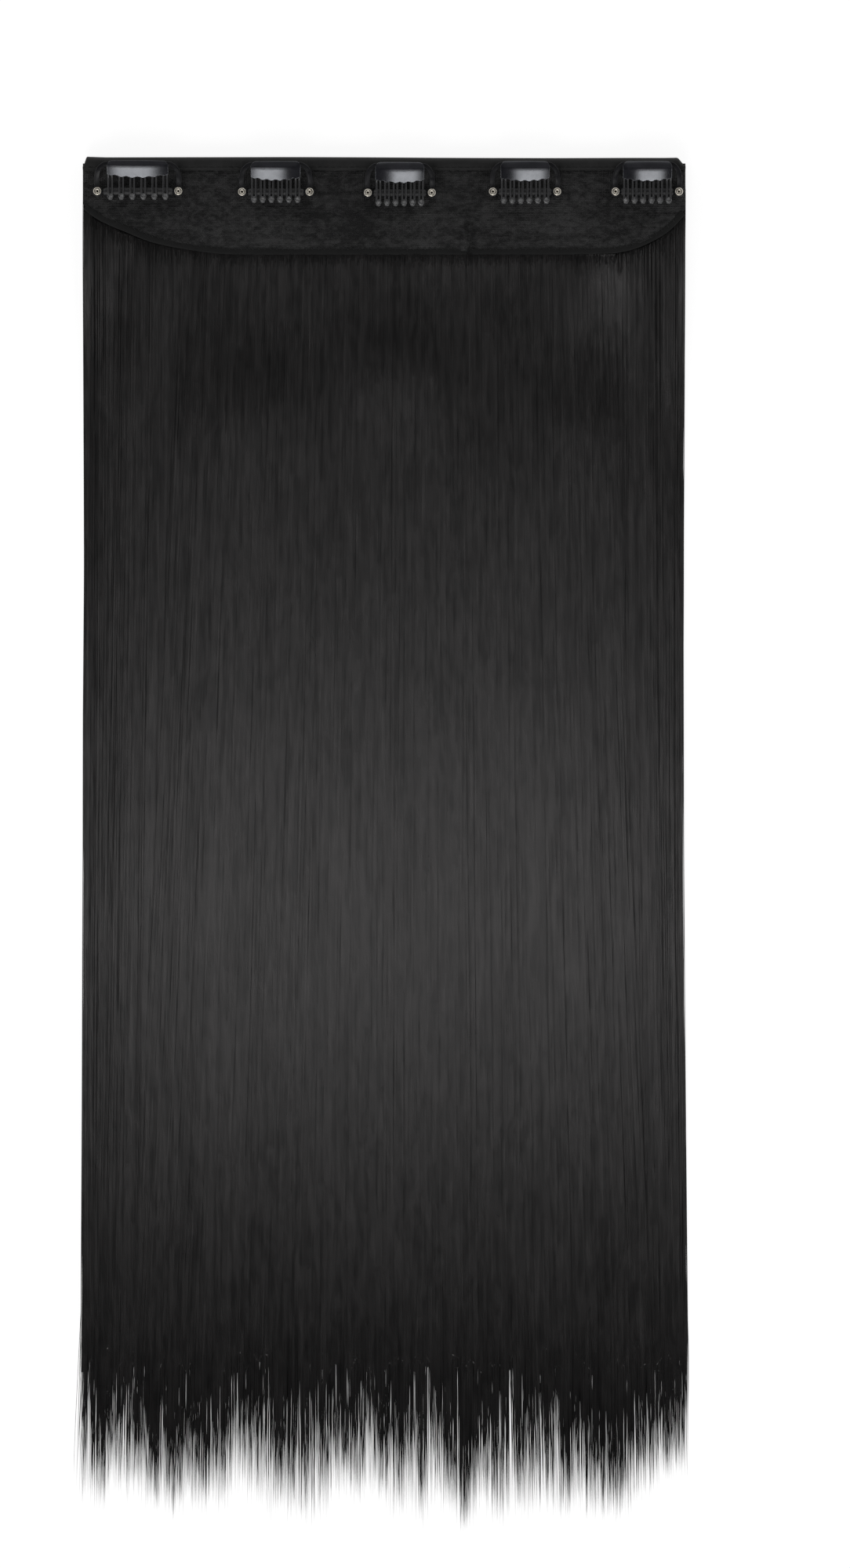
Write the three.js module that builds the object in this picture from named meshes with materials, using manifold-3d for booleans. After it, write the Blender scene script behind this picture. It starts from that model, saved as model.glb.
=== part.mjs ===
// A one-piece clip-in hair extension, laid flat with its clips up.
// Millimetres. X runs along the clip edge, +Y points from the hair tips to the clip edge, +Z is up.
// While it is built, y = 0 is the clip edge, so a depth below that edge is a negative y. z = 0 is the
// surface that it lies on. At the end the whole is moved so that its origin is at its bottom centre.
import * as THREE from "three";
import { mergeVertices } from "three/addons/utils/BufferGeometryUtils.js";
import Module from "manifold-3d";

const wasm = await Module();
wasm.setup();

// Clearance between pieces that touch on the real thing.
const CLEAR = 0.3;

// Hair.
const WIDTH = 275;            // along the clip edge
const HAIR_LENGTH = 610;      // clip edge to the common line of the tips
const PARTING_DEPTH = 540;    // where the locks come apart
const LOCK_THICKNESS = 1.4;   // one row of hair, near its weft
const PARTING_THICKNESS = 1;  // one row of hair, where the locks come apart
const TIP_THICKNESS = 0.5;    // one row of hair, at the longest tip
const FLARE = 2;              // how much wider the hair lies on each side at its tips
const CORNER_TRIM = 12;       // how much shorter the hair is cut at the right corner
const CORNER_WIDTH = 30;      // how far in from that corner the cut runs

// Base cloth and its edges.
const BASE_DEPTH = 43.5;      // clip edge to the lowest line of the half-moon
const NET_THICKNESS = 1.2;
const HEM_WIDTH = 3;
const HEM_THICKNESS = 1.8;
const BINDING_WIDTH = 5;
const BINDING_WALL = 1;
const BINDING_ROUND = 2.6;    // outer rounding of the fold
const EDGE_WAVE = 0.6;        // how far the clip edge dips between its high places
const LEFT_CORNER = 2;
const RIGHT_CORNER = 3.2;
const WEFT_WIDTH = 2.4;

// Snap clips.
const PLATE_THICKNESS = 0.6;
const PLATE_RISE = 5.9;       // middle of the plate above the cloth
const PLATE_TOP = 13.6;       // rivet line to the far edge of the plate
const PLATE_BOTTOM = 6.8;     // rivet line to the near edge of the plate
const PLATE_BULGE = 0.7;      // how far the far edge is bowed
const PLATE_SLANT = 2.4;      // how much shorter the far edge is at each end
const HINGE_LINE = 8.2;       // rivet line to the line that the plate snaps about
const LEG_WIDTH = 2.6;
const LEG_THICKNESS = 0.6;
const PAD_RADIUS = 2.3;       // round ends of the legs and the bar
const BAR_WIDTH = 1.5;
const BAR_THICKNESS = 0.8;
const TOOTH_COUNT = 6;
const TOOTH_WIDTH = 1.4;
const TOOTH_THICKNESS = 0.7;
const TOOTH_REACH = 4.3;      // rivet line to the tips of the teeth
const TOOTH_TIP_RISE = 2.6;   // middle of a tooth's tip above the cloth
const SLEEVE_RADIUS = 1.8;
const SLEEVE_HOLE = 1.2;
const RIVET_SHANK = 1.1;
const RIVET_BORE = 0.55;
const RIVET_HEAD = 2;
const RIVET_FLANGE = 0.6;

// One row of the table for each row of hair, from the clip edge down. depth is the weft's place as a share
// of BASE_DEPTH; left and right are what it leaves bare at its ends, as shares of WIDTH; first is the lock
// of the LOCKS table that it starts with, and step the stride through that table.
const HAIR_ROWS = [
  { depth: 0.10, left: 0.000, right: 0.000, first: 3, step: 5 },
  { depth: 0.36, left: 0.012, right: 0.012, first: 2, step: 7 },
  { depth: 0.58, left: 0.055, right: 0.040, first: 12, step: 3 },
  { depth: 0.81, left: 0.170, right: 0.120, first: 0, step: 1 },
];

// Locks, from left to right in the row nearest the hem. wide is relative width, long the place of the tip
// as a share of HAIR_LENGTH, lean its drift sideways as a share of the lock's width.
const LOCKS = [
  { wide: 0.90, long: 0.988, lean: -0.10 },
  { wide: 1.15, long: 0.962, lean: 0.16 },
  { wide: 0.80, long: 1.006, lean: 0.05 },
  { wide: 1.05, long: 0.975, lean: -0.14 },
  { wide: 1.20, long: 1.004, lean: 0.10 },
  { wide: 0.85, long: 0.955, lean: -0.06 },
  { wide: 1.10, long: 0.996, lean: 0.12 },
  { wide: 0.95, long: 0.970, lean: -0.18 },
  { wide: 1.10, long: 1.002, lean: 0.04 },
  { wide: 0.90, long: 0.980, lean: 0.14 },
  { wide: 1.05, long: 1.020, lean: -0.08 },
  { wide: 1.15, long: 0.960, lean: 0.10 },
  { wide: 0.85, long: 1.016, lean: -0.05 },
  { wide: 1.05, long: 0.985, lean: 0.12 },
  { wide: 0.95, long: 1.004, lean: -0.12 },
  { wide: 1.00, long: 0.978, lean: 0.06 },
];

// A lock's taper below the parting: down is the share of its free length, width and crown are shares of its
// width and thickness at the parting.
const TAPER = [
  { down: 0.00, width: 0.97, crown: 0.96 },
  { down: 0.50, width: 0.84, crown: 0.92 },
  { down: 0.82, width: 0.48, crown: 0.80 },
  { down: 1.00, width: 0.07, crown: 0.60 },
];

// The half-moon's lower edge: along is a share of WIDTH from the left, deep a share of BASE_DEPTH.
const HALF_MOON = [
  { along: 0.000, deep: 0.50 },
  { along: 0.030, deep: 0.64 },
  { along: 0.076, deep: 0.77 },
  { along: 0.121, deep: 0.877 },
  { along: 0.187, deep: 0.959 },
  { along: 0.240, deep: 0.994 },
  { along: 0.300, deep: 1.000 },
  { along: 0.600, deep: 1.000 },
  { along: 0.840, deep: 0.996 },
  { along: 0.892, deep: 0.975 },
  { along: 0.930, deep: 0.90 },
  { along: 0.968, deep: 0.76 },
  { along: 1.000, deep: 0.55 },
];

// Folded tape along the clip edge: along is a share of WIDTH, dip a share of EDGE_WAVE.
const EDGE_SECTIONS = [
  { along: 0.12, dip: 0.0 },
  { along: 0.24, dip: 0.7 },
  { along: 0.36, dip: 0.1 },
  { along: 0.50, dip: 0.8 },
  { along: 0.62, dip: 0.2 },
  { along: 0.76, dip: 1.0 },
  { along: 0.88, dip: 0.3 },
];

// Snap clips: along is the place of the middle as a share of WIDTH, down its rivet line below the clip edge,
// span the distance between its rivets, teeth the distance between its outer teeth.
const CLIPS = [
  { along: 0.093, down: 15.0, span: 36.8, teeth: 25.0 },
  { along: 0.321, down: 15.3, span: 30.7, teeth: 19.8 },
  { along: 0.526, down: 15.7, span: 29.0, teeth: 19.4 },
  { along: 0.733, down: 15.2, span: 29.2, teeth: 19.4 },
  { along: 0.935, down: 15.2, span: 28.8, teeth: 19.4 },
];

const ROW_PITCH = LOCK_THICKNESS + CLEAR;
const STACK_TOP = HAIR_ROWS.length * ROW_PITCH - CLEAR;
const NET_BOTTOM = STACK_TOP + CLEAR;
const NET_TOP = NET_BOTTOM + NET_THICKNESS;
const FOLD_TOP = NET_TOP + CLEAR + BINDING_WALL;
const TUCK = BINDING_WALL + EDGE_WAVE + CLEAR;
const LONGEST = HAIR_LENGTH * Math.max(...LOCKS.map((lock) => lock.long));
const SPREAD = 0.5;           // how much of a short row's bare ends its hair covers at the parting
const VALLEY = 0.7;           // thickness between two locks, as a share of the thickness at their crowns
const SIDE = 0.4;             // the same at the outer sides of a row
const SLEEVE_RISE = CLEAR + SLEEVE_RADIUS;
const BAR_TOP = SLEEVE_RISE + BAR_THICKNESS / 2;
const LEG_BOTTOM = BAR_TOP + CLEAR;
const HEAD_BOTTOM = LEG_BOTTOM + LEG_THICKNESS + CLEAR;
const HEAD_TOP = HEAD_BOTTOM + RIVET_FLANGE;

const finish = {
  net: new THREE.MeshStandardMaterial({ color: 0x1b1b1c, roughness: 0.9, metalness: 0 }),
  tape: new THREE.MeshStandardMaterial({ color: 0x202021, roughness: 0.75, metalness: 0 }),
  hair: new THREE.MeshStandardMaterial({ color: 0x161617, roughness: 0.45, metalness: 0 }),
  lacquer: new THREE.MeshStandardMaterial({ color: 0x0b0b0d, roughness: 0.18, metalness: 0.3 }),
  silicone: new THREE.MeshStandardMaterial({ color: 0x1d1d20, roughness: 0.5, metalness: 0 }),
  rivet: new THREE.MeshStandardMaterial({ color: 0xcdbf95, roughness: 0.3, metalness: 1 }),
};

const lerp = THREE.MathUtils.lerp;

// A closed geometry with shared corners, so that it can be joined or cut.
function welded(geometry) {
  const bare = geometry.index ? geometry.toNonIndexed() : geometry.clone();
  bare.deleteAttribute("normal");
  bare.deleteAttribute("uv");
  return mergeVertices(bare, 1e-5);
}

function solid(geometry) {
  const shared = welded(geometry);
  const mesh = new wasm.Mesh({
    numProp: 3,
    vertProperties: new Float32Array(shared.attributes.position.array),
    triVerts: new Uint32Array(shared.index.array),
  });
  return new wasm.Manifold(mesh);
}

function joined(geometries) {
  const whole = geometries.map(solid).reduce((sum, next) => sum.add(next));
  const mesh = whole.getMesh();
  const geometry = new THREE.BufferGeometry();
  geometry.setAttribute("position", new THREE.BufferAttribute(new Float32Array(mesh.vertProperties), 3));
  geometry.setIndex(new THREE.BufferAttribute(new Uint32Array(mesh.triVerts), 1));
  return geometry;
}

// A body through rings of points that lie in planes across Y or X. The rings share their count of points.
function loft(sections, flatten) {
  const clockwise = THREE.ShapeUtils.isClockWise(sections[0].map(flatten));
  const rings = clockwise ? sections.map((ring) => [...ring].reverse()) : sections;
  const count = rings[0].length;
  const corners = rings.flat();
  const faces = [];
  for (let i = 0; i + 1 < rings.length; i += 1) {
    for (let k = 0; k < count; k += 1) {
      const a = i * count + k;
      const b = i * count + ((k + 1) % count);
      faces.push([a, b, b + count], [a, b + count, a + count]);
    }
  }
  const last = (rings.length - 1) * count;
  for (const [a, b, c] of THREE.ShapeUtils.triangulateShape(rings[0].map(flatten), [])) {
    faces.push([c, b, a]);
  }
  for (const [a, b, c] of THREE.ShapeUtils.triangulateShape(rings.at(-1).map(flatten), [])) {
    faces.push([last + a, last + b, last + c]);
  }
  const geometry = new THREE.BufferGeometry();
  geometry.setAttribute("position", new THREE.Float32BufferAttribute(corners.flatMap((p) => p.toArray()), 3));
  geometry.setIndex(faces.flat());
  return outward(geometry);
}

// Turns a closed geometry's faces out if they point in.
function outward(geometry) {
  const place = geometry.attributes.position;
  const index = geometry.index.array;
  const [a, b, c] = [new THREE.Vector3(), new THREE.Vector3(), new THREE.Vector3()];
  let volume = 0;
  for (let i = 0; i < index.length; i += 3) {
    a.fromBufferAttribute(place, index[i]);
    b.fromBufferAttribute(place, index[i + 1]);
    c.fromBufferAttribute(place, index[i + 2]);
    volume += a.dot(b.cross(c));
  }
  if (volume > 0) {
    return geometry;
  }
  for (let i = 0; i < index.length; i += 3) {
    [index[i], index[i + 1]] = [index[i + 1], index[i]];
  }
  return geometry;
}

const acrossY = (p) => new THREE.Vector2(p.x, p.z);
const acrossX = (p) => new THREE.Vector2(p.y, p.z);

// A flat outline in the XY plane, raised from low to high.
function slab(outline, low, high, holes = []) {
  const shape = new THREE.Shape(outline);
  shape.holes = holes.map((hole) => new THREE.Path(hole));
  const geometry = new THREE.ExtrudeGeometry(shape, { depth: high - low, bevelEnabled: false });
  return geometry.translate(0, 0, low);
}

// A profile of [y, z] points, run along X from left to right.
function rail(profile, left, right) {
  return loft([left, right].map((x) => profile.map(([y, z]) => new THREE.Vector3(x, y, z))), acrossX);
}

function circle(x, y, radius, sides) {
  return Array.from({ length: sides }, (_, i) => {
    const turn = (2 * Math.PI * i) / sides;
    return new THREE.Vector2(x + radius * Math.cos(turn), y + radius * Math.sin(turn));
  });
}

// How thick one row of hair is at a depth below the clip edge.
function rowThickness(depth) {
  if (depth <= PARTING_DEPTH) {
    const share = Math.max(0, (depth - BASE_DEPTH) / (PARTING_DEPTH - BASE_DEPTH));
    return lerp(LOCK_THICKNESS, PARTING_THICKNESS, share);
  }
  return lerp(PARTING_THICKNESS, TIP_THICKNESS, (depth - PARTING_DEPTH) / (LONGEST - PARTING_DEPTH));
}

const rowBottom = (level, depth) => level * (rowThickness(depth) + CLEAR);

// The sides of a row of hair at a depth.
function rowSides(row, depth) {
  const open = 1 - SPREAD * THREE.MathUtils.clamp(depth / PARTING_DEPTH, 0, 1);
  const flare = FLARE * THREE.MathUtils.clamp(depth / HAIR_LENGTH, 0, 1) ** 2;
  const left = -WIDTH / 2 + row.left * WIDTH * open - flare;
  const right = WIDTH / 2 - row.right * WIDTH * open + flare;
  return [left, right];
}

// The locks of one row, each with the shares of the row's width where it starts and ends.
function locksOf(row) {
  const order = LOCKS.map((_, k) => LOCKS[(row.first + k * row.step) % LOCKS.length]);
  const total = order.reduce((sum, lock) => sum + lock.wide, 0);
  let start = 0;
  return order.map((lock) => {
    const from = start;
    start += lock.wide / total;
    return { ...lock, from, to: start };
  });
}

// Where the hair of a row has come down from its weft to its own level.
function rootDepth(row, level) {
  const mouth = level === 0 ? BINDING_WIDTH + CLEAR : row.depth * BASE_DEPTH + WEFT_WIDTH / 2;
  return mouth + WEFT_WIDTH;
}

// The weft of a row, from the net down to the level of its hair. The first row's weft lies in the fold.
function weftProfile(row, level) {
  const low = rowBottom(level, 0);
  const high = low + VALLEY * LOCK_THICKNESS;
  const end = -rootDepth(row, level);
  const foot = [[end + WEFT_WIDTH / 2, STACK_TOP], [end, high], [end - WEFT_WIDTH, high], [end - WEFT_WIDTH, low]];
  if (level === 0) {
    const shelf = BINDING_WALL + CLEAR;
    return [[-TUCK, shelf], [-TUCK, STACK_TOP], ...foot, [end + WEFT_WIDTH, low], [end + WEFT_WIDTH, shelf]];
  }
  const near = -row.depth * BASE_DEPTH + WEFT_WIDTH / 2;
  return [[near, low], [near, STACK_TOP], ...foot];
}

// The joined part of a row of hair: flat below, with a crown on each lock.
function rowBody(row, level, locks) {
  const depths = [rootDepth(row, level) + WEFT_WIDTH / 4, BASE_DEPTH, PARTING_DEPTH];
  const rings = depths.map((depth) => {
    const [left, right] = rowSides(row, depth);
    const low = rowBottom(level, depth);
    const thick = rowThickness(depth);
    const point = (share, height) => new THREE.Vector3(lerp(left, right, share), -depth, low + height * thick);
    const ring = [point(0, 0), point(1, 0), point(1, SIDE)];
    for (const lock of [...locks].reverse()) {
      ring.push(point((lock.from + lock.to) / 2, 1), point(lock.from, lock.from > 0 ? VALLEY : SIDE));
    }
    return ring;
  });
  return loft(rings, acrossY);
}

// One lock below the parting, tapered to its tip.
function lockTip(row, level, lock) {
  const inside = PARTING_DEPTH - HEM_WIDTH;
  const [left, right] = rowSides(row, PARTING_DEPTH);
  const width = (lock.to - lock.from) * (right - left);
  const middle = lerp(left, right, (lock.from + lock.to) / 2);
  const cut = CORNER_TRIM * THREE.MathUtils.clamp(1 - (WIDTH / 2 - middle) / CORNER_WIDTH, 0, 1);
  const end = lock.long * HAIR_LENGTH - cut;
  const rings = TAPER.map((step) => {
    const depth = lerp(inside, end, step.down);
    const centre = middle + lock.lean * width * step.down ** 2 + Math.sign(middle) * FLARE * step.down / 2;
    const half = (step.width * width) / 2;
    const low = rowBottom(level, depth) + CLEAR / 10;
    const thick = (rowThickness(depth) - CLEAR / 10) * step.crown;
    return [
      new THREE.Vector3(centre - half, -depth, low),
      new THREE.Vector3(centre + half, -depth, low),
      new THREE.Vector3(centre + half, -depth, low + thick * VALLEY * 0.9),
      new THREE.Vector3(centre, -depth, low + thick),
      new THREE.Vector3(centre - half, -depth, low + thick * VALLEY * 0.9),
    ];
  });
  return loft(rings, acrossY);
}

function hairRow(row, level) {
  const locks = locksOf(row);
  const [left, right] = rowSides(row, 0);
  const parts = [
    rail(weftProfile(row, level), left + LEFT_CORNER, right - RIGHT_CORNER),
    rowBody(row, level, locks),
    ...locks.map((lock) => lockTip(row, level, lock)),
  ];
  return joined(parts);
}

// The half-moon's lower line, from the left side of the base to its right side.
function baseLine() {
  const knots = HALF_MOON.map(({ along, deep }) => new THREE.Vector2((along - 0.5) * WIDTH, -deep * BASE_DEPTH));
  return new THREE.SplineCurve(knots).getPoints(knots.length * 2);
}

// The same line moved up into the base by a distance.
function inset(line, distance) {
  return line.map((point, i) => {
    const before = line[Math.max(0, i - 1)];
    const after = line[Math.min(line.length - 1, i + 1)];
    const ahead = after.clone().sub(before).normalize();
    return new THREE.Vector2(point.x - ahead.y * distance, point.y + ahead.x * distance);
  });
}

// The cloth ends inside the fold at the clip edge, with its corners cut clear of the fold's corners, and
// short of the hem along the half-moon.
function baseNet() {
  const line = baseLine();
  const edge = inset(line, HEM_WIDTH + CLEAR);
  const side = (end, next) => {
    const run = next.clone().sub(end);
    return end.y + ((HEM_WIDTH + CLEAR) * run.length()) / Math.abs(run.x);
  };
  const outline = [
    new THREE.Vector2(-WIDTH / 2 + LEFT_CORNER, -TUCK),
    new THREE.Vector2(-WIDTH / 2, -TUCK - LEFT_CORNER),
    new THREE.Vector2(-WIDTH / 2, side(line[0], line[1])),
    ...edge,
    new THREE.Vector2(WIDTH / 2, side(line.at(-1), line.at(-2))),
    new THREE.Vector2(WIDTH / 2, -TUCK - RIGHT_CORNER),
    new THREE.Vector2(WIDTH / 2 - RIGHT_CORNER, -TUCK),
  ];
  return slab(outline, NET_BOTTOM, NET_TOP);
}

function hemTape() {
  const line = baseLine();
  return slab([...line, ...inset(line, HEM_WIDTH).reverse()], NET_BOTTOM, NET_BOTTOM + HEM_THICKNESS);
}

// The section of the folded tape at x, with its outer edge at y.
function foldSection(x, y) {
  const back = -BINDING_WIDTH;
  const round = Math.min(BINDING_ROUND, (y - back) * 0.8);
  const arc = (turn, z) => [y - round + round * Math.cos(turn), z + round * Math.sin(turn)];
  const turns = [0, 1, 2, 3].map((k) => (k * Math.PI) / 6);
  const outer = [
    ...turns.map((turn) => arc(turn - Math.PI / 2, round)),
    ...turns.map((turn) => arc(turn, FOLD_TOP - round)),
  ];
  const inner = [
    [back, FOLD_TOP], [back, FOLD_TOP - BINDING_WALL], [y - BINDING_WALL, FOLD_TOP - BINDING_WALL],
    [y - BINDING_WALL, BINDING_WALL], [back, BINDING_WALL], [back, 0],
  ];
  return [...outer, ...inner].map(([across, z]) => new THREE.Vector3(x, across, z));
}

function topBinding() {
  const corner = (radius, turn) => radius * (1 - Math.cos(turn));
  const stations = [];
  for (const turn of [Math.PI / 2, Math.PI / 4, 0]) {
    stations.push([-WIDTH / 2 + corner(LEFT_CORNER, Math.PI / 2 - turn), -corner(LEFT_CORNER, turn)]);
  }
  for (const { along, dip } of EDGE_SECTIONS) {
    stations.push([(along - 0.5) * WIDTH, -dip * EDGE_WAVE]);
  }
  for (const turn of [0, Math.PI / 4, Math.PI / 2]) {
    stations.push([WIDTH / 2 - corner(RIGHT_CORNER, Math.PI / 2 - turn), -corner(RIGHT_CORNER, turn)]);
  }
  return loft(stations.map(([x, y]) => foldSection(x, y)), acrossX);
}

// Half the length of a clip's plate along its near edge.
const plateHalf = (clip) => clip.teeth / 2 + TOOTH_WIDTH;

// The plate that is pressed to snap the clip, with the comb on its near edge. It is drawn about the middle
// of the rivet line, with z = 0 on the cloth.
function comb(clip) {
  const half = plateHalf(clip);
  const far = half - PLATE_SLANT;
  const outline = new THREE.Shape();
  outline.moveTo(-half, PLATE_BOTTOM);
  outline.lineTo(half, PLATE_BOTTOM);
  outline.lineTo(half, HINGE_LINE + LEG_WIDTH / 2);
  outline.quadraticCurveTo(half, PLATE_TOP - PLATE_BULGE, far, PLATE_TOP - PLATE_BULGE / 2);
  outline.quadraticCurveTo(0, PLATE_TOP + PLATE_BULGE / 2, -far, PLATE_TOP - PLATE_BULGE / 2);
  outline.quadraticCurveTo(-half, PLATE_TOP - PLATE_BULGE, -half, HINGE_LINE + LEG_WIDTH / 2);
  const low = PLATE_RISE - PLATE_THICKNESS / 2;
  const plate = slab(outline.getPoints(5), low, low + PLATE_THICKNESS);
  const pitch = clip.teeth / (TOOTH_COUNT - 1);
  const teeth = Array.from({ length: TOOTH_COUNT }, (_, i) => tooth(-clip.teeth / 2 + i * pitch));
  return joined([plate, ...teeth]);
}

// One tooth: down from the plate, over the sleeve, with its tip bent down beyond it.
function tooth(x) {
  const half = TOOTH_THICKNESS / 2;
  const over = SLEEVE_RISE + SLEEVE_RADIUS + CLEAR + half;
  const line = [
    [PLATE_BOTTOM + TOOTH_WIDTH, PLATE_RISE], [SLEEVE_RADIUS, over + half],
    [-SLEEVE_RADIUS, over + half / 2], [-TOOTH_REACH, TOOTH_TIP_RISE],
  ];
  const profile = [
    ...line.map(([y, z], i) => [y, z - (i === 3 ? 0 : half)]),
    [-TOOTH_REACH + half, TOOTH_TIP_RISE + 2 * half],
    [-SLEEVE_RADIUS + half, over + half * 1.5], [SLEEVE_RADIUS, over + 2 * half],
    [PLATE_BOTTOM + TOOTH_WIDTH, PLATE_RISE + half * 0.6],
  ];
  return rail(profile, x - TOOTH_WIDTH / 2, x + TOOTH_WIDTH / 2);
}

// A leg of the spring, from its rivet up to the end of the plate. side is -1 or 1.
function leg(clip, side) {
  const foot = clip.span / 2;
  const head = plateHalf(clip) + CLEAR + LEG_WIDTH / 2;
  const high = PLATE_RISE - LEG_THICKNESS / 2;
  const steps = [
    { y: RIVET_SHANK + 1.5 * CLEAR, x: foot, z: LEG_BOTTOM },
    { y: PAD_RADIUS + CLEAR / 2, x: foot, z: LEG_BOTTOM },
    { y: HINGE_LINE - LEG_WIDTH / 2, x: head, z: high },
    { y: HINGE_LINE + LEG_WIDTH / 2, x: head, z: high },
  ];
  const strip = steps.map(({ y, x, z }) => {
    const corner = (across, up) => new THREE.Vector3(side * (x + across * LEG_WIDTH), y, z + up * LEG_THICKNESS);
    return [corner(-0.5, 0), corner(0.5, 0), corner(0.5, 1), corner(-0.5, 1)];
  });
  const hole = circle(side * foot, 0, RIVET_SHANK + CLEAR, 8);
  const pad = slab(circle(side * foot, 0, PAD_RADIUS, 10), LEG_BOTTOM, LEG_BOTTOM + LEG_THICKNESS, [hole]);
  return joined([pad, loft(strip, acrossY)]);
}

function bar(clip) {
  const half = clip.span / 2;
  const outline = [];
  const mouth = Math.asin(BAR_WIDTH / 2 / PAD_RADIUS);
  for (const end of [1, -1]) {
    for (let i = 0; i < 8; i += 1) {
      const turn = lerp(-Math.PI + mouth, Math.PI - mouth, i / 7) + (end < 0 ? Math.PI : 0);
      outline.push(new THREE.Vector2(end * half + PAD_RADIUS * Math.cos(turn), PAD_RADIUS * Math.sin(turn)));
    }
  }
  const holes = [-half, half].map((x) => circle(x, 0, RIVET_SHANK + CLEAR, 8));
  return slab(outline, BAR_TOP - BAR_THICKNESS, BAR_TOP, holes);
}

function sleeve(clip) {
  const length = clip.span - 2 * (PAD_RADIUS + CLEAR);
  const ring = new THREE.Shape(circle(0, 0, SLEEVE_RADIUS, 10));
  ring.holes = [new THREE.Path(circle(0, 0, SLEEVE_HOLE, 8))];
  const tube = new THREE.ExtrudeGeometry(ring, { depth: length, bevelEnabled: false });
  return tube.translate(0, 0, -length / 2).rotateY(Math.PI / 2).translate(0, 0, SLEEVE_RISE);
}

// A tubular rivet: flange on the cloth, shank through bar and leg, rolled head on top.
function rivet() {
  const flangeTop = BAR_TOP - BAR_THICKNESS - CLEAR;
  const profile = [
    [RIVET_BORE, CLEAR], [RIVET_HEAD, CLEAR], [RIVET_HEAD, flangeTop], [RIVET_SHANK, flangeTop],
    [RIVET_SHANK, HEAD_BOTTOM], [RIVET_HEAD, HEAD_BOTTOM], [RIVET_HEAD * 0.85, HEAD_TOP], [RIVET_BORE, HEAD_TOP],
    [RIVET_BORE, CLEAR],
  ].map(([radius, z]) => new THREE.Vector2(radius, z));
  return new THREE.LatheGeometry(profile, 10).rotateX(Math.PI / 2);
}

function named(name, geometry, material) {
  const mesh = new THREE.Mesh(welded(geometry), material);
  mesh.geometry.computeVertexNormals();
  mesh.name = name;
  return mesh;
}

function snapClip(clip, number) {
  const group = new THREE.Group();
  const name = (piece) => `clip_${number}_${piece}`;
  group.add(named(name("comb"), comb(clip), finish.lacquer));
  group.add(named(name("bar"), bar(clip), finish.lacquer));
  group.add(named(name("sleeve"), sleeve(clip), finish.silicone));
  for (const [end, side] of [["left", -1], ["right", 1]]) {
    group.add(named(name(`leg_${end}`), leg(clip, side), finish.lacquer));
    const pin = named(name(`rivet_${end}`), rivet(), finish.rivet);
    pin.position.x = (side * clip.span) / 2;
    group.add(pin);
  }
  group.position.set((clip.along - 0.5) * WIDTH, -clip.down, NET_TOP);
  return group;
}

const extension = new THREE.Group();
extension.add(named("base_net", baseNet(), finish.net));
extension.add(named("hem_tape", hemTape(), finish.tape));
extension.add(named("top_binding", topBinding(), finish.tape));
HAIR_ROWS.forEach((row, level) => {
  extension.add(named(`hair_row_${level + 1}`, hairRow(row, level), finish.hair));
});
CLIPS.forEach((clip, i) => extension.add(snapClip(clip, i + 1)));

const box = new THREE.Box3().setFromObject(extension);
const middle = box.getCenter(new THREE.Vector3());
extension.position.set(-middle.x, -middle.y, -box.min.z);

export default extension;
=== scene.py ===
"""Looks, camera and light for a one-piece clip-in hair extension, laid flat with its clips up.

Shapes are worked out in millimetres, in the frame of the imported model: X along the clip edge, +Y from the
hair tips to the clip edge, +Z up. A depth is a distance below the clip edge, towards the tips.
"""
import math

import bpy
import numpy as np
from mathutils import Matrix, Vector


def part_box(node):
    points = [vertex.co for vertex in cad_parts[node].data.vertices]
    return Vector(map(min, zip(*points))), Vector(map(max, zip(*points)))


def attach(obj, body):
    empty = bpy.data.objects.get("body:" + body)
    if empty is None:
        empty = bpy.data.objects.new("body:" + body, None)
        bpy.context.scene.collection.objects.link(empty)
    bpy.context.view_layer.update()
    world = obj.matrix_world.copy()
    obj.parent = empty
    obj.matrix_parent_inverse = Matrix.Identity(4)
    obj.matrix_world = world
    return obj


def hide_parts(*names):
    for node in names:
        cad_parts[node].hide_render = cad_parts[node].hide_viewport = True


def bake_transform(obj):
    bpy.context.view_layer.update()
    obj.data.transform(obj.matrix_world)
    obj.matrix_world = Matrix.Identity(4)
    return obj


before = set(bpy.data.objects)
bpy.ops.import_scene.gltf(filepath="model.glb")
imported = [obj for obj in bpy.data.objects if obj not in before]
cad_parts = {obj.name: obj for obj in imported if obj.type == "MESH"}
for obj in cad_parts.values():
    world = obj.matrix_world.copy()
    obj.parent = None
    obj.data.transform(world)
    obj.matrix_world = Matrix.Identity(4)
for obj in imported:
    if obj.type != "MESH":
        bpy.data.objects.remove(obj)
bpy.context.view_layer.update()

MM = 0.001


def box(node):
    """A node's lowest and highest corners in millimetres."""
    low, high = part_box(node)
    return np.array(low) / MM, np.array(high) / MM


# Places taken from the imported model
NET_LOW, NET_HIGH = box("base_net")
FOLD_LOW, FOLD_HIGH = box("top_binding")
HEM_LOW, HEM_HIGH = box("hem_tape")
EDGE_Y = FOLD_HIGH[1]
WIDTH = NET_HIGH[0] - NET_LOW[0]
BASE_DEPTH = EDGE_Y - HEM_LOW[1]
LONGEST = EDGE_Y - box("hair_row_1")[0][1]

# Sizes of the hair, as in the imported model
PARTING_DEPTH = 540  # where the locks come apart
CLEAR = 0.3          # between pieces that touch on the real thing
FLARE = 2            # how much wider the hair lies on each side at its tips
SPREAD = 0.5         # how much of a row's bare ends closes up by the parting
ROW_THICKNESS = {"depth": (BASE_DEPTH, PARTING_DEPTH, LONGEST), "thick": (1.4, 1.0, 0.5)}

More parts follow.
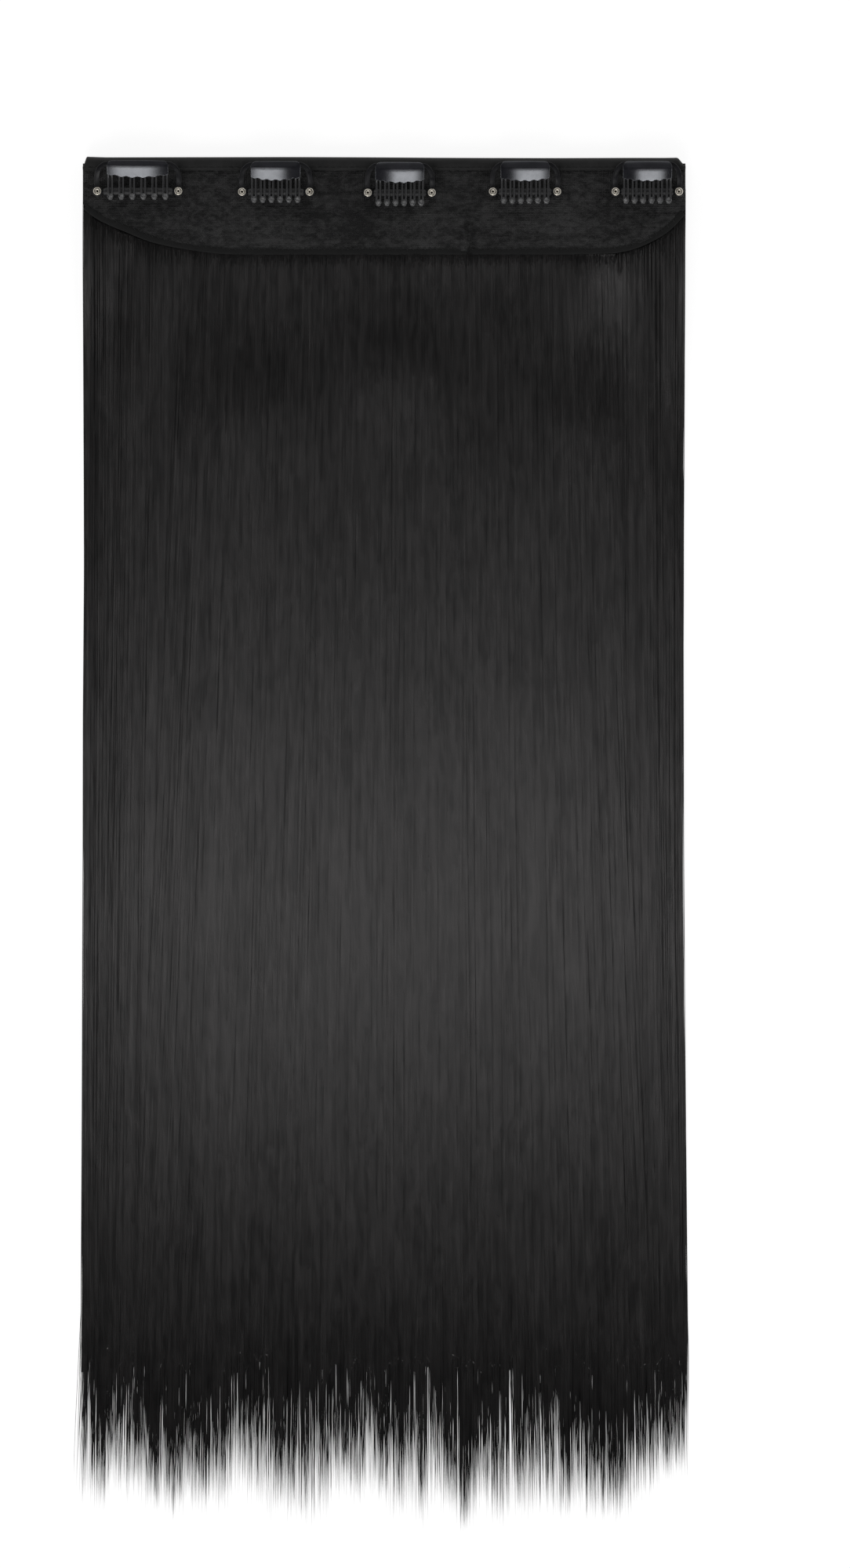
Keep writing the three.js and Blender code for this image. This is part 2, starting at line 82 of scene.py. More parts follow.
# Rows of hair from the surface up. weft is the depth of the row's weft; left and right are the shares of the
# width that the row leaves bare at its ends. full counts the strands that run over the whole length, short
# those near the tips only.
ROWS = [
    {"weft": 0.10 * BASE_DEPTH, "left": 0.000, "right": 0.000, "full": 850, "short": 1500},
    {"weft": 0.36 * BASE_DEPTH, "left": 0.012, "right": 0.012, "full": 450, "short": 2400},
    {"weft": 0.58 * BASE_DEPTH, "left": 0.055, "right": 0.040, "full": 500, "short": 2400},
    {"weft": 0.81 * BASE_DEPTH, "left": 0.170, "right": 0.120, "full": 1480, "short": 0},
]
VEIL_COUNT = 800    # loose strands over the top row
ROW_PITCH = 1.7     # from one row up to the next at the base
STRAND_RADIUS = 0.135
STRAND_TAPER = 64   # how much of a strand's end tapers
STRAND_SHORT = 65   # how much shorter than its wisp a strand is, at most
TIP_LINE = 634      # depth of the longest tips
SHORT_START = 470   # where the short strands begin, inside the row
LEAN_START = 400    # where strands begin to lean to a side
GATHER_START = 520  # where they begin to draw together in tufts
STRAY_START = 530   # where those at the sides begin to stray outwards
BULK_END = 554      # where the closed inner body of a row ends

# Depths of the rings of a long strand from its start, closest together where it leaves the base
STEP_DEPTHS = (0, 4.5, 9, 15, 24, 36, 50, 66, 84, 105, 135, 180, 240, 300, 360, 420, 475, 515, 545, 565, 582)

# What the strands gather in: how far apart these are, how much shorter each is than the longest, at most, and
# how far each leans to a side.
LOCKS = {"pitch": 9.2, "short": 14, "lean": 0.30}
TUFTS = {"pitch": 4.4, "short": 6, "lean": 0.48}
WISPS = {"pitch": 0.65, "short": 9, "lean": 0.14}

# Locks whose strands end closer together and so hang lower: where across, how wide, and how much closer.
FULL_LOCKS = [
    {"x": -103, "wide": 4, "closer": 0.25},
    {"x": -79, "wide": 5, "closer": 0.22},
    {"x": -36, "wide": 4, "closer": 0.15},
    {"x": 38, "wide": 6, "closer": 0.48},
    {"x": 82, "wide": 4, "closer": 0.25},
    {"x": 104, "wide": 5, "closer": 0.22},
    {"x": 140, "wide": 22, "closer": 0.30},
]


def smooth(x):
    """Eases from 0 to 1 as x does."""
    x = np.clip(x, 0, 1)
    return x * x * (3 - 2 * x)


def bell(x):
    """1 at 0, falling to nothing on both sides."""
    return np.exp(-(x**2))


def squared_off(x, power):
    """x, from -1 to 1, raised to a power with its sign kept, which makes a round section squarer."""
    return np.sign(x) * np.abs(x) ** power


def full_turn(sides):
    """Even angles once round."""
    return np.arange(sides) * 2 * math.pi / sides


def waves(count, shortest, longest, seed):
    """A gentle random function of two lengths, from -1 to 1, made of sine waves."""
    draw = np.random.default_rng(seed)
    length = draw.uniform(shortest, longest, count)
    heading = draw.uniform(0, math.pi, count)
    phase = draw.uniform(0, 2 * math.pi, count)

    def field(x, y):
        total = 0
        for size, turn, start in zip(length, heading, phase):
            total += np.sin(2 * math.pi * (x * math.cos(turn) + y * math.sin(turn)) / size + start)
        return total / count

    return field


def put(name, data, place=(0, 0, 0)):
    """A new object in the scene, at a place in millimetres."""
    thing = bpy.data.objects.new(name, data)
    thing.location = Vector(place) * MM
    bpy.context.scene.collection.objects.link(thing)
    return thing


# Mesh building


class Shape:
    """Points and faces gathered from parts, made into one mesh at the end."""

    def __init__(self):
        self.points, self.faces, self.rounded, self.count = [], [], [], 0

    def add(self, points, *faces, rounded=True):
        points = np.asarray(points, float).reshape(-1, 3)
        faces = [np.asarray(face) + self.count for face in faces if len(face)]
        self.points.append(points)
        self.faces += faces
        self.rounded += [np.full(len(face), rounded) for face in faces]
        self.count += len(points)

    def mesh(self, name, flat_uv=False):
        points = np.concatenate(self.points) * MM
        loops = np.concatenate([face.ravel() for face in self.faces]).astype(np.int32)
        sizes = np.concatenate([np.full(len(face), face.shape[1]) for face in self.faces])
        starts = np.concatenate([[0], np.cumsum(sizes)[:-1]]).astype(np.int32)
        mesh = bpy.data.meshes.new(name)
        mesh.vertices.add(len(points))
        mesh.vertices.foreach_set("co", points.astype(np.float32).ravel())
        mesh.loops.add(len(loops))
        mesh.loops.foreach_set("vertex_index", loops)
        mesh.polygons.add(len(sizes))
        mesh.polygons.foreach_set("loop_start", starts)
        mesh.polygons.foreach_set("use_smooth", np.concatenate(self.rounded))
        mesh.update(calc_edges=True)
        if flat_uv:
            low, high = points.min(0), points.max(0)
            share = (points[loops, :2] - low[:2]) / (high[:2] - low[:2])
            layer = mesh.uv_layers.new(name="OFBake")
            layer.data.foreach_set("uv", share.astype(np.float32).ravel())
        return mesh

    def piece(self, name, material, body, slot, replaces=(), flat_uv=False):
        thing = put(name, self.mesh(name, flat_uv))
        thing.data.materials.append(material)
        if replaces:
            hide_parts(*replaces)
        if body:
            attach(thing, body)
        return thing


def shell(top, bottom):
    """Points and faces of a closed body between two grids of points, laid out by x and then y."""
    across, along = top.shape[:2]
    index = np.arange(across * along).reshape(across, along)
    upper = np.stack([index[:-1, :-1], index[1:, :-1], index[1:, 1:], index[:-1, 1:]], -1).reshape(-1, 4)
    lower = upper[:, ::-1] + across * along
    edge = np.concatenate([index[:-1, 0], index[-1, :-1], index[:0:-1, -1], index[0, :0:-1]])
    ahead = np.roll(edge, -1)
    rim = np.stack([edge + across * along, ahead + across * along, ahead, edge], -1)
    return np.concatenate([top.reshape(-1, 3), bottom.reshape(-1, 3)]), upper, lower, rim


def ring_walls(rings, sides, closed=False, outward=True):
    """Faces that join rings of points in a row, and the last ring to the first if closed."""
    ring = np.arange(sides)
    turn = np.roll(ring, -1)
    start = np.arange(rings if closed else rings - 1)[:, None] * sides
    after = (start + sides) % (rings * sides)
    corners = [start + ring, start + turn, after + turn, after + ring]
    if not outward:
        corners = [corners[0], *corners[:0:-1]]
    return np.stack(corners, -1).reshape(-1, 4)


def ring_ends(rings, sides):
    """The faces that close the first and the last ring."""
    ring = np.arange(sides)
    return np.stack([ring[::-1], ring + (rings - 1) * sides])


def unit(vectors):
    return vectors / np.linalg.norm(vectors, axis=-1, keepdims=True)


def sweep(path, section, up):
    """A section of (across, up) points, or one for each place on the path, carried along a path."""
    count = len(path)
    section = np.broadcast_to(section, (count, *np.shape(section)[-2:]))
    ahead = unit(np.gradient(path, axis=0))
    side = unit(np.cross(ahead, up))
    rise = np.cross(side, ahead)
    points = path[:, None] + side[:, None] * section[..., :1] + rise[:, None] * section[..., 1:]
    sides = section.shape[1]
    return points, ring_walls(count, sides), ring_ends(count, sides)


def oval(wide, high, sides, powers=(1, 1)):
    """A section that goes round against the clock, squarer across and up with smaller powers."""
    turn = full_turn(sides)
    across, up = (squared_off(way(turn), power) for way, power in zip((np.cos, np.sin), powers))
    return np.stack([wide * across, high * up], -1)


def lathe(profile, centre, sides):
    """A closed profile of (radius, height) points turned about an upright line."""
    profile = np.asarray(profile, float)
    turn = full_turn(sides)[:, None]
    radius = profile[:, 0]
    height = np.broadcast_to(profile[:, 1], (sides, len(profile)))
    points = np.stack([np.cos(turn) * radius, np.sin(turn) * radius, height], -1)
    return points + centre, ring_walls(sides, len(profile), closed=True, outward=False)


def curve(knots, count):
    """Points at even steps along a smooth curve through knots."""
    knots = np.asarray(knots, float)
    padded = np.concatenate([2 * knots[:1] - knots[1:2], knots, 2 * knots[-1:] - knots[-2:-1]])
    where = np.linspace(0, len(knots) - 1, count)
    first = np.minimum(where.astype(int), len(knots) - 2)
    t = (where - first)[:, None]
    a, b, c, d = (padded[first + k] for k in range(4))
    return 0.5 * (2 * b + (c - a) * t + (2 * a - 5 * b + 4 * c - d) * t**2 + (3 * b - a - 3 * c + d) * t**3)


# Materials


class Finish:
    """A material, and the nodes that feed its one shader."""

    def __init__(self, name, **sockets):
        self.material = bpy.data.materials.new(name)
        self.material.use_nodes = True
        self.tree = self.material.node_tree
        self.shader = self.tree.nodes["Principled BSDF"]
        for socket, value in sockets.items():
            self.shader.inputs[socket.replace("_", " ")].default_value = value
        self.place = self.node("ShaderNodeTexCoord").outputs["Object"]

    def node(self, kind, inputs=(), **settings):
        made = self.tree.nodes.new(kind)
        for name, value in settings.items():
            setattr(made, name, value)
        for name, value in dict(inputs).items():
            if isinstance(value, bpy.types.NodeSocket):
                self.tree.links.new(value, made.inputs[name])
            else:
                made.inputs[name].default_value = value
        return made

    def stretched(self, sizes):
        """Coordinates that grow by one over each of the sizes, in metres."""
        scale = [1 / size for size in sizes]
        return self.node("ShaderNodeMapping", {"Vector": self.place, "Scale": scale}).outputs[0]

    def noise(self, sizes, detail=2.0, rough=0.5):
        inputs = {"Vector": self.stretched(sizes), "Scale": 1.0, "Detail": detail, "Roughness": rough}
        return self.node("ShaderNodeTexNoise", inputs).outputs["Fac"]

    def waves_across(self, pitch, direction):
        """Even ribs, one over each pitch along X or Y."""
        inputs = {"Vector": self.stretched((pitch, pitch, pitch)), "Scale": 0.314, "Distortion": 0.6}
        made = self.node("ShaderNodeTexWave", inputs, wave_type="BANDS", bands_direction=direction)
        return made.outputs["Fac"]

    def maths(self, operation, *values):
        return self.node("ShaderNodeMath", dict(enumerate(values)), operation=operation).outputs[0]

    def mix(self, first, second, share):
        """A share of the first value and the rest of the second."""
        first = self.maths("MULTIPLY", first, share)
        second = self.maths("MULTIPLY", second, 1 - share)
        return self.maths("ADD", first, second)

    def feed(self, socket, value):
        self.tree.links.new(value, self.shader.inputs[socket])

    def shade(self, socket, value, *stops):
        """Feeds a socket with a value that goes through a ramp of two (place, colour or grey) stops."""
        ramp = self.node("ShaderNodeValToRGB", {"Fac": value})
        for element, (place, colour) in zip(ramp.color_ramp.elements, stops):
            element.position = place
            element.color = (*colour, 1) if isinstance(colour, tuple) else (colour, colour, colour, 1)
        self.feed(socket, ramp.outputs["Color"])

    def bump(self, height, distance, strength=1.0):
        inputs = {"Height": height, "Distance": distance, "Strength": strength}
        self.feed("Normal", self.node("ShaderNodeBump", inputs).outputs[0])


def hair_finish():
    """Straight, near-black hair with a low sheen; colour and gloss run in short streaks along it."""
    made = Finish("hair", Specular_IOR_Level=0.505)
    long = made.noise((0.0019, 0.030, 0.01))
    brief = made.noise((0.0025, 0.009, 0.01), 1.0)
    streaks = made.mix(long, brief, 0.6)
    broad = made.noise((0.014, 0.05, 0.05))
    both = made.mix(streaks, broad, 0.65)
    made.shade("Base Color", both, (0.35, (0.0060, 0.0058, 0.0058)), (0.65, (0.0125, 0.0119, 0.0117)))
    made.shade("Roughness", both, (0.3, 0.205), (0.7, 0.26))
    made.shade("Specular Tint", streaks, (0.37, (0.63, 0.62, 0.62)), (0.63, (1.0, 0.97, 0.97)))
    made.bump(streaks, 0.00018, 0.5)
    return made.material


def cloth_finish():
    """Dull woven base cloth: a fine square weave, worn into soft patches."""
    made = Finish("base_cloth", Specular_IOR_Level=0.25)
    weft = made.waves_across(0.0008, "X")
    warp = made.waves_across(0.0008, "Y")
    weave = made.maths("MULTIPLY", weft, warp)
    patches = made.noise((0.0036, 0.0022, 0.003), 4.0, 0.7)
    broad = made.noise((0.03, 0.02, 0.02))
    both = made.mix(patches, broad, 0.7)
    made.shade("Base Color", both, (0.41, (0.0030, 0.0030, 0.0032)), (0.60, (0.0330, 0.0330, 0.0330)))
    made.shade("Roughness", patches, (0.3, 0.66), (0.7, 0.82))
    height = made.maths("ADD", weave, made.maths("MULTIPLY", patches, 3.0))
    made.bump(height, 0.0004, 0.8)
    return made.material


def tape_finish(name, dark, pale):
    """Closely woven binding tape, ribbed across."""
    made = Finish(name, Specular_IOR_Level=0.2)
    ribs = made.noise((0.0006, 0.008, 0.008))
    patches = made.noise((0.006, 0.004, 0.004), 3.0)
    both = made.mix(ribs, patches, 0.5)
    made.shade("Base Color", both, (0.35, dark), (0.65, pale))
    made.shade("Roughness", ribs, (0.3, 0.62), (0.7, 0.78))
    made.bump(ribs, 0.00015, 0.5)
    return made.material


def clouded_finish(name, size, detail, colours, rough, bump, fine=None, **sockets):
    """A finish whose colour and gloss vary in small clouds, with a bump of the same or a finer size."""
    made = Finish(name, **sockets)
    cloud = made.noise((size, size, size), detail)
    grain = made.noise((fine, fine, fine)) if fine else cloud
    made.shade("Base Color", cloud, (0.3, colours[0]), (0.7, colours[1]))
    made.shade("Roughness", cloud, (0.3, rough[0]), (0.7, rough[1]))
    made.bump(grain, *bump)
    return made.material


HAIR = hair_finish()
CLOTH = cloth_finish()
TAPE = tape_finish("binding_tape", 0.0115, 0.0195)
# The hem's tape is darker than the binding tape. That is painted shade along the hem's rounded lower edge.
HEM_TAPE_PAINTED_SHADE = tape_finish("hem_tape", 0.0045, 0.0085)

# Dull black sewing thread
THREAD = clouded_finish(
    "sewing_thread", size=0.0004, detail=2.0, colours=(0.006, 0.014), rough=(0.45, 0.6), bump=(0.0001, 0.5),
    Specular_IOR_Level=0.3,
)

# Black lacquer on steel, worn a little thin and uneven
LACQUER = clouded_finish(
    "clip_lacquer", size=0.004, detail=3.0, colours=((0.006, 0.006, 0.0075), (0.014, 0.014, 0.017)),
    rough=(0.14, 0.17), bump=(0.00001, 0.2), fine=0.0006,
    IOR=1.7, Specular_IOR_Level=0.92, Specular_Tint=(0.92, 0.945, 1.0, 1.0),
)

# The same lacquer, rougher on the teeth, the legs of the spring and the teeth's beads
WORN = {
    "size": 0.003, "detail": 3.0, "colours": ((0.007, 0.007, 0.008), (0.013, 0.013, 0.0145)),
    "rough": (0.26, 0.36), "bump": (0.00003, 0.3), "fine": 0.0005,
}
SATIN = clouded_finish("clip_satin", **WORN, Specular_IOR_Level=0.6)
DULL = clouded_finish("clip_dull", **WORN, Specular_IOR_Level=0.2)
BEAD = clouded_finish("clip_bead", **WORN, IOR=1.65, Specular_IOR_Level=1.0)

# Dark, smoky silicone
SILICONE = clouded_finish(
    "silicone", size=0.003, detail=2.0, colours=((0.012, 0.012, 0.013), (0.02, 0.02, 0.021)),
    rough=(0.42, 0.55), bump=(0.00005, 0.4), Specular_IOR_Level=0.4,
)

# Pale gold plating
RIVET = clouded_finish(
    "rivet_metal", size=0.0012, detail=3.0, colours=((0.44, 0.41, 0.35), (0.70, 0.66, 0.59)),
    rough=(0.22, 0.36), bump=(0.00004, 0.4), Metallic=1.0,
)

# Lower edge of the base

HEM_WIDTH = 3

# How deep the half-moon is along its width, both as shares
HALF_MOON = {
    "along": (0.000, 0.030, 0.076, 0.121, 0.187, 0.240, 0.300, 0.600, 0.840, 0.892, 0.930, 0.968, 1.000),
    "deep": (0.50, 0.64, 0.77, 0.877, 0.959, 0.994, 1.000, 1.000, 0.996, 0.975, 0.90, 0.76, 0.55),
}
MOON_CURVE = curve(np.stack([HALF_MOON["along"], HALF_MOON["deep"]], -1), 200)


def moon_depth(x):
    """How deep the half-moon's lower edge is at x."""
    return BASE_DEPTH * np.interp(x / WIDTH + 0.5, MOON_CURVE[:, 0], MOON_CURVE[:, 1])


# Hair

swell = waves(12, 55, 150, 5)

# Soft rises of the hair below the base: where across, how deep, how far they move across over each millimetre
# of depth, their reach each way, and their height.
RISES = [
    {"x": 107, "depth": 40, "slant": -0.35, "wide": 19, "long": 27, "high": 1.8},
    {"x": -118, "depth": 27, "slant": 0.0, "wide": 7, "long": 17, "high": 0.8},
    {"x": 0, "depth": 42, "slant": 0.0, "wide": 130, "long": 34, "high": 0.5},
    {"x": 5, "depth": 96, "slant": 0.2, "wide": 26, "long": 22, "high": 0.6},
    {"x": -60, "depth": 112, "slant": -0.3, "wide": 30, "long": 26, "high": 0.4},
    {"x": 92, "depth": 118, "slant": 0.3, "wide": 24, "long": 20, "high": 0.4},
    {"x": -122, "depth": 102, "slant": 0.2, "wide": 17, "long": 22, "high": 0.5},
    {"x": 130, "depth": 84, "slant": 0.0, "wide": 9, "long": 20, "high": 0.5},
]


def row_sides(row, depth):
    """Where the left and the right side of a row are."""
    opened = 1 - SPREAD * np.clip(depth / PARTING_DEPTH, 0, 1)
    flare = FLARE * np.clip(depth / TIP_LINE, 0, 1) ** 3 - 0.3
    waist = 0.9 * np.sin(np.clip(depth / 560, 0, 1) * math.pi) ** 2
    left = -WIDTH / 2 + row["left"] * WIDTH * opened - flare
    right = WIDTH / 2 - row["right"] * WIDTH * opened + flare - waist
    return left, right


def missing_rows(level, x, depth):
    """How much of the rows above is missing at x, past their ends."""
    missing = 0
    for row in ROWS[level + 1:]:
        left, right = row_sides(row, depth)
        missing = missing + 1 - smooth((x - left + 3) / 12) * smooth((right + 3 - x) / 12)
    return missing


def row_place(row, level, share, height, depth):
    """Points at shares of a row's width and thickness.

    The hair leaves the base close under its hem, swells a little, and settles towards its tips.
    """
    left, right = row_sides(row, depth)
    x = left + (right - left) * share
    thick = np.interp(depth, ROW_THICKNESS["depth"], ROW_THICKNESS["thick"])
    below = np.maximum(depth - moon_depth(x), 0)
    z = level * (thick + CLEAR) + height * (thick + CLEAR * 0.6)
    filled = ROW_PITCH * missing_rows(level, x, depth)
    z += filled * bell(below / 52) * smooth((depth - row["weft"]) / 14)
    calm = smooth((depth - BASE_DEPTH) / 30) * (1 - 0.6 * smooth((depth - 130) / 160))
    lift = 0.30 + 0.26 * bell(below / 22) + 0.24 * bell(below / 9)
    lift += 0.36 * swell(x, depth * 0.8) * calm
    for rise in RISES:
        across = x - rise["x"] - rise["slant"] * (depth - rise["depth"])
        away = (across / rise["wide"]) ** 2 + ((depth - rise["depth"]) / rise["long"]) ** 2
        lift += rise["high"] * np.exp(-away)
    out = smooth((depth - moon_depth(x) + 5) / 6.5) * smooth((LONGEST - depth) / 170)
    return x, z + lift * out * (level + 1) / len(ROWS)


def tip_line(x):
    """How deep the longest tips reach at x: the corners are cut a little shorter."""
    left = 9 * smooth((-x - 88) / 45)
    right = 17 * smooth((x - 108) / 28)
    return TIP_LINE - left - right


def closer(x):
    """How much closer together the strands end at x."""
    return sum(lock["closer"] * bell((x - lock["x"]) / lock["wide"]) for lock in FULL_LOCKS)


def gathered(x, pitch, draw):
    """Each strand's tuft, how many millimetres it is off the tuft's middle, and the count of tufts."""
    reach = WIDTH / 2 + 8
    count = round(2 * reach / pitch)
    middles = (np.arange(count) + 0.5 + draw.uniform(-0.32, 0.32, count)) * pitch - reach
    tuft = np.abs(x[:, None] - middles[None, :]).argmin(1)
    return tuft, x - middles[tuft], count


def strand_tubes(path, radius, turn):
    """Three-sided tapered strands with pointed tips, along paths of (strands, rings, 3) points."""
    count, rings = radius.shape
    angle = turn[:, None, None] + full_turn(3)
    offset = np.stack([np.cos(angle), np.zeros_like(angle), np.sin(angle)], -1)
    body = path[:, :-1, None] + offset * radius[:, :-1, None, None]
    points = np.concatenate([body.reshape(count, -1, 3), path[:, -1:]], 1)
    each = points.shape[1]
    first = np.arange(count)[:, None, None] * each
    last, tip = (rings - 2) * 3, each - 1
    caps = [(last, last + 1, tip), (last + 1, last + 2, tip), (last + 2, last, tip), (0, 2, 1)]
    walls = ring_walls(rings - 1, 3)
    return points, (first + walls).reshape(-1, 4), (first + caps).reshape(-1, 3)


def strands(row, level, share, height, start, steps, draw):
    """Strands of one row from their starting depths to their tips, each with a flat side up.

    All rows share their locks and tufts.
    """
    count = len(share)
    left, right = row_sides(row, TIP_LINE)
    x_tip = left + (right - left) * share
    beside = np.exp(-(x_tip - left) / 2.5)

    # How far down each ends
    shared = np.random.default_rng(31)
    tuft, off_tuft, tufts = gathered(x_tip, TUFTS["pitch"], shared)
    lock, off_lock, locks = gathered(x_tip, LOCKS["pitch"], shared)
    tuft_short = shared.uniform(0, TUFTS["short"], tufts)
    tuft_lean = shared.normal(0, TUFTS["lean"], tufts)
    lock_short = shared.uniform(0, LOCKS["short"], locks)
    lock_lean = shared.normal(0, LOCKS["lean"], locks)
    wisp, off_wisp, wisps = gathered(x_tip, WISPS["pitch"], draw)
    short = tuft_short[tuft] + lock_short[lock] + draw.uniform(0, WISPS["short"], wisps)[wisp]
    short += STRAND_SHORT * draw.uniform(0, 1, count) ** 1.05
    short += 2.8 * np.abs(off_wisp) / (WISPS["pitch"] / 2)
    tip = tip_line(x_tip) - short * (1 - closer(x_tip))
    steps = steps + 0.4 * np.gradient(steps) * draw.uniform(-1, 1, (count, len(steps)))
    steps[:, 0], steps[:, -1] = 0, 1
    depth = start[:, None] + (tip - start)[:, None] * steps

    # How each wanders in its row, and leans and gathers towards its tip
    wander = draw.normal(0, 1, (count, 4))
    phase = draw.uniform(0, 2 * math.pi, (count, 3))
    dive = 0.07 * np.sin(depth / 31 + phase[:, :1]) + 0.05 * np.sin(depth / 17 + phase[:, 1:2])
    high = np.clip(height[:, None] + dive, 0.04, 1.12)
    x, z = row_place(row, level, share[:, None], high, depth)
    closing = smooth((depth - GATHER_START) / (TIP_LINE - 20 - GATHER_START))
    bending = smooth((depth - LEAN_START) / (TIP_LINE - LEAN_START))
    pull = draw.uniform(0, 0.3, count)[:, None]
    x = x + 0.4 * np.sin(depth / 60 + phase[:, 2:]) + 0.5 * wander[:, :1] * (depth / 300)
    x = x - off_tuft[:, None] * pull * closing - off_wisp[:, None] * (0.1 + 0.25 * closing)
    x -= off_lock[:, None] * 0.06 * closing
    lean = lock_lean[lock] + tuft_lean[tuft] + draw.normal(0, WISPS["lean"], wisps)[wisp]
    x = x + lean[:, None] * bending**2 + 0.6 * wander[:, 1:2] * bending
    loose = smooth((depth - STRAY_START) / 70)
    x -= 3.5 * (beside * draw.uniform(0, 1, count))[:, None] * loose
    room = 0.2 + 3.0 * np.abs(wander[:, 2:3]) * loose
    left, right = row_sides(row, depth)
    x = np.clip(x, left - room, right + room)
    z = np.maximum(z, 0.2)
    radius = STRAND_RADIUS * draw.uniform(0.8, 1.2, count)[:, None]
    radius = radius * (0.4 + 0.6 * np.clip((tip[:, None] - depth) / STRAND_TAPER, 0, 1))
    path = np.stack([x, EDGE_Y - depth, z], -1)
    return strand_tubes(path, radius, math.pi / 6 + draw.normal(0, 0.04, count))


LONG_STEPS = np.array(STEP_DEPTHS) / STEP_DEPTHS[-1]
SHORT_STEPS = np.linspace(0, 1, 7)


def bulk(row, level, draw):
    """The closed inner body of a row, which the strands cover. Its end is ragged and hidden by them."""
    share = np.linspace(0, 1, 96)
    down = np.append(np.interp(np.linspace(0, 1, 37), [0, 0.5, 1], [0, 0.25, 0.998]), 1)
    start = row["weft"] + 1.5
    ragged = BULK_END - 6 + 6 * draw.uniform(-1, 1, len(share))
    depth = start + (ragged - start)[:, None] * down
    side = 1 - np.abs(2 * share - 1) ** 30
    left, right = row_sides(row, depth)
    inner = 0.5 + (share[:, None] - 0.5) * (1 - 0.4 / (right - left))
    rough = 0.04 * draw.uniform(-1, 1, len(share))
    closing = smooth((ragged[:, None] - depth) / 45)
    upper = 0.45 + (0.36 + rough[:, None]) * side[:, None] * (0.2 + 0.8 * closing)
    lower = 0.45 - 0.28 * side[:, None] * (0.2 + 0.8 * closing)
    grids = []
    for height in (upper, lower):
        x, z = row_place(row, level, inner, height, depth)
        grids.append(np.stack([x, EDGE_Y - depth, np.maximum(z, 0.15)], -1)[:, ::-1])
    return shell(*grids)


def weft_band(row, level):
    """The sewn head of a row: a flat braid under the cloth that its hair hangs from."""
    left, right = row_sides(row, row["weft"])
    top = NET_LOW[2] - 0.25
    low = level * ROW_PITCH + 0.2
    x = np.linspace(left + 2.2, right - 3.4, 60)
    path = x[:, None] * (1, 0, 0) + (0, EDGE_Y - row["weft"] - 1.6, (top + low) / 2)
    return sweep(path, oval(1.3, (top - low) / 2, 10), (0, 0, 1))


def hair_row(number):
    """A row of hair: its weft, its inner body and its strands, most of them where the row shows."""
    level = number - 1
    row = ROWS[level]
    draw = np.random.default_rng(40 + number)
    made = Shape()
    made.add(*bulk(row, level, draw))
    made.add(*weft_band(row, level))
    count = row["full"]
    share = draw.uniform(0, 1, count)
    height = 1.0 - 0.28 * draw.uniform(0, 1, count) ** 1.5
    if level == 0:
        below = draw.uniform(0, 1, count) < 0.45
        height = np.where(below, 0.03 + 0.16 * draw.uniform(0, 1, count), height)
        beside = draw.uniform(0, 1, count) < 0.8
        edge = 0.5 + np.sign(share - 0.5) * (0.5 - 0.05 * draw.uniform(0, 1, count))
        share = np.where(~below & beside, edge, share)
    elif level < len(ROWS) - 1:
        reach = max(row["left"], 0.03) + 0.14
        share = 0.5 + np.sign(share - 0.5) * (0.5 - reach * draw.uniform(0, 1, count))
    start = row["weft"] + 2.0 + draw.uniform(0, 3, count)
    share = np.clip(share, 0.001, 0.999)
    made.add(*strands(row, level, share, height, start, LONG_STEPS, draw), rounded=False)
    if row["short"]:
        count = row["short"]
        start = SHORT_START + draw.uniform(-15, 15, count)
        share, height = draw.uniform(0, 1, count), draw.uniform(0.15, 0.85, count)
        made.add(*strands(row, level, share, height, start, SHORT_STEPS, draw), rounded=False)
    made.piece(f"hair_{number}", HAIR, "base", "hair", [f"hair_row_{number}"], flat_uv=True)


def hair_veil():
    """Loose strands over the top row."""
    level = len(ROWS) - 1
    row = ROWS[level]
    draw = np.random.default_rng(50)
    start = row["weft"] + 2.0 + draw.uniform(0, 3, VEIL_COUNT)
    height = draw.uniform(0.9, 1.05, VEIL_COUNT)
    made = Shape()
    share = draw.uniform(0.002, 0.998, VEIL_COUNT)
    made.add(*strands(row, level, share, height, start, LONG_STEPS, draw), rounded=False)
    made.piece("hair_veil", HAIR, "base", "hair", flat_uv=True)


for number in range(1, len(ROWS) + 1):
    hair_row(number)
hair_veil()

# Base cloth

INSET = 0.3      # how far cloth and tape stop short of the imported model's ends
FOLD_WALL = 0.9  # thickness of the folded tape
SEAM_RISE = 0.9  # from a weft up to the seam that holds it
FOLD_X = 37.5    # the upright fold in the cloth
FOLD_TOP = 19    # depth where that fold begins
pucker = waves(8, 9, 40, 8)
crinkle = waves(10, 3.5, 9, 10)
edge_wave = waves(6, 50, 130, 9)

# Creases that run across the cloth: from where to where and how gently they begin and end, how deep they lie,
# how much deeper over each millimetre, and how high they are.
CREASES = [
    {"start": 12, "end": FOLD_X, "ease": (6, 3), "depth": 24.2, "slope": 0.0, "high": 0.65},
    {"start": 46, "end": 96, "ease": (6, 8), "depth": 28.4, "slope": 0.02, "high": 0.5},
]

# Where the hair lifts the lower edge of the base, near its corners
CORNER_LIFTS = [
    {"x": 107, "wide": 19, "high": 1.6},
    {"x": -120, "wide": 9, "high": 0.5},
]


def corner_lift(x):
    """How far the hair lifts the lower edge of the base at x."""
    return sum(lift["high"] * bell((x - lift["x"]) / lift["wide"]) for lift in CORNER_LIFTS)


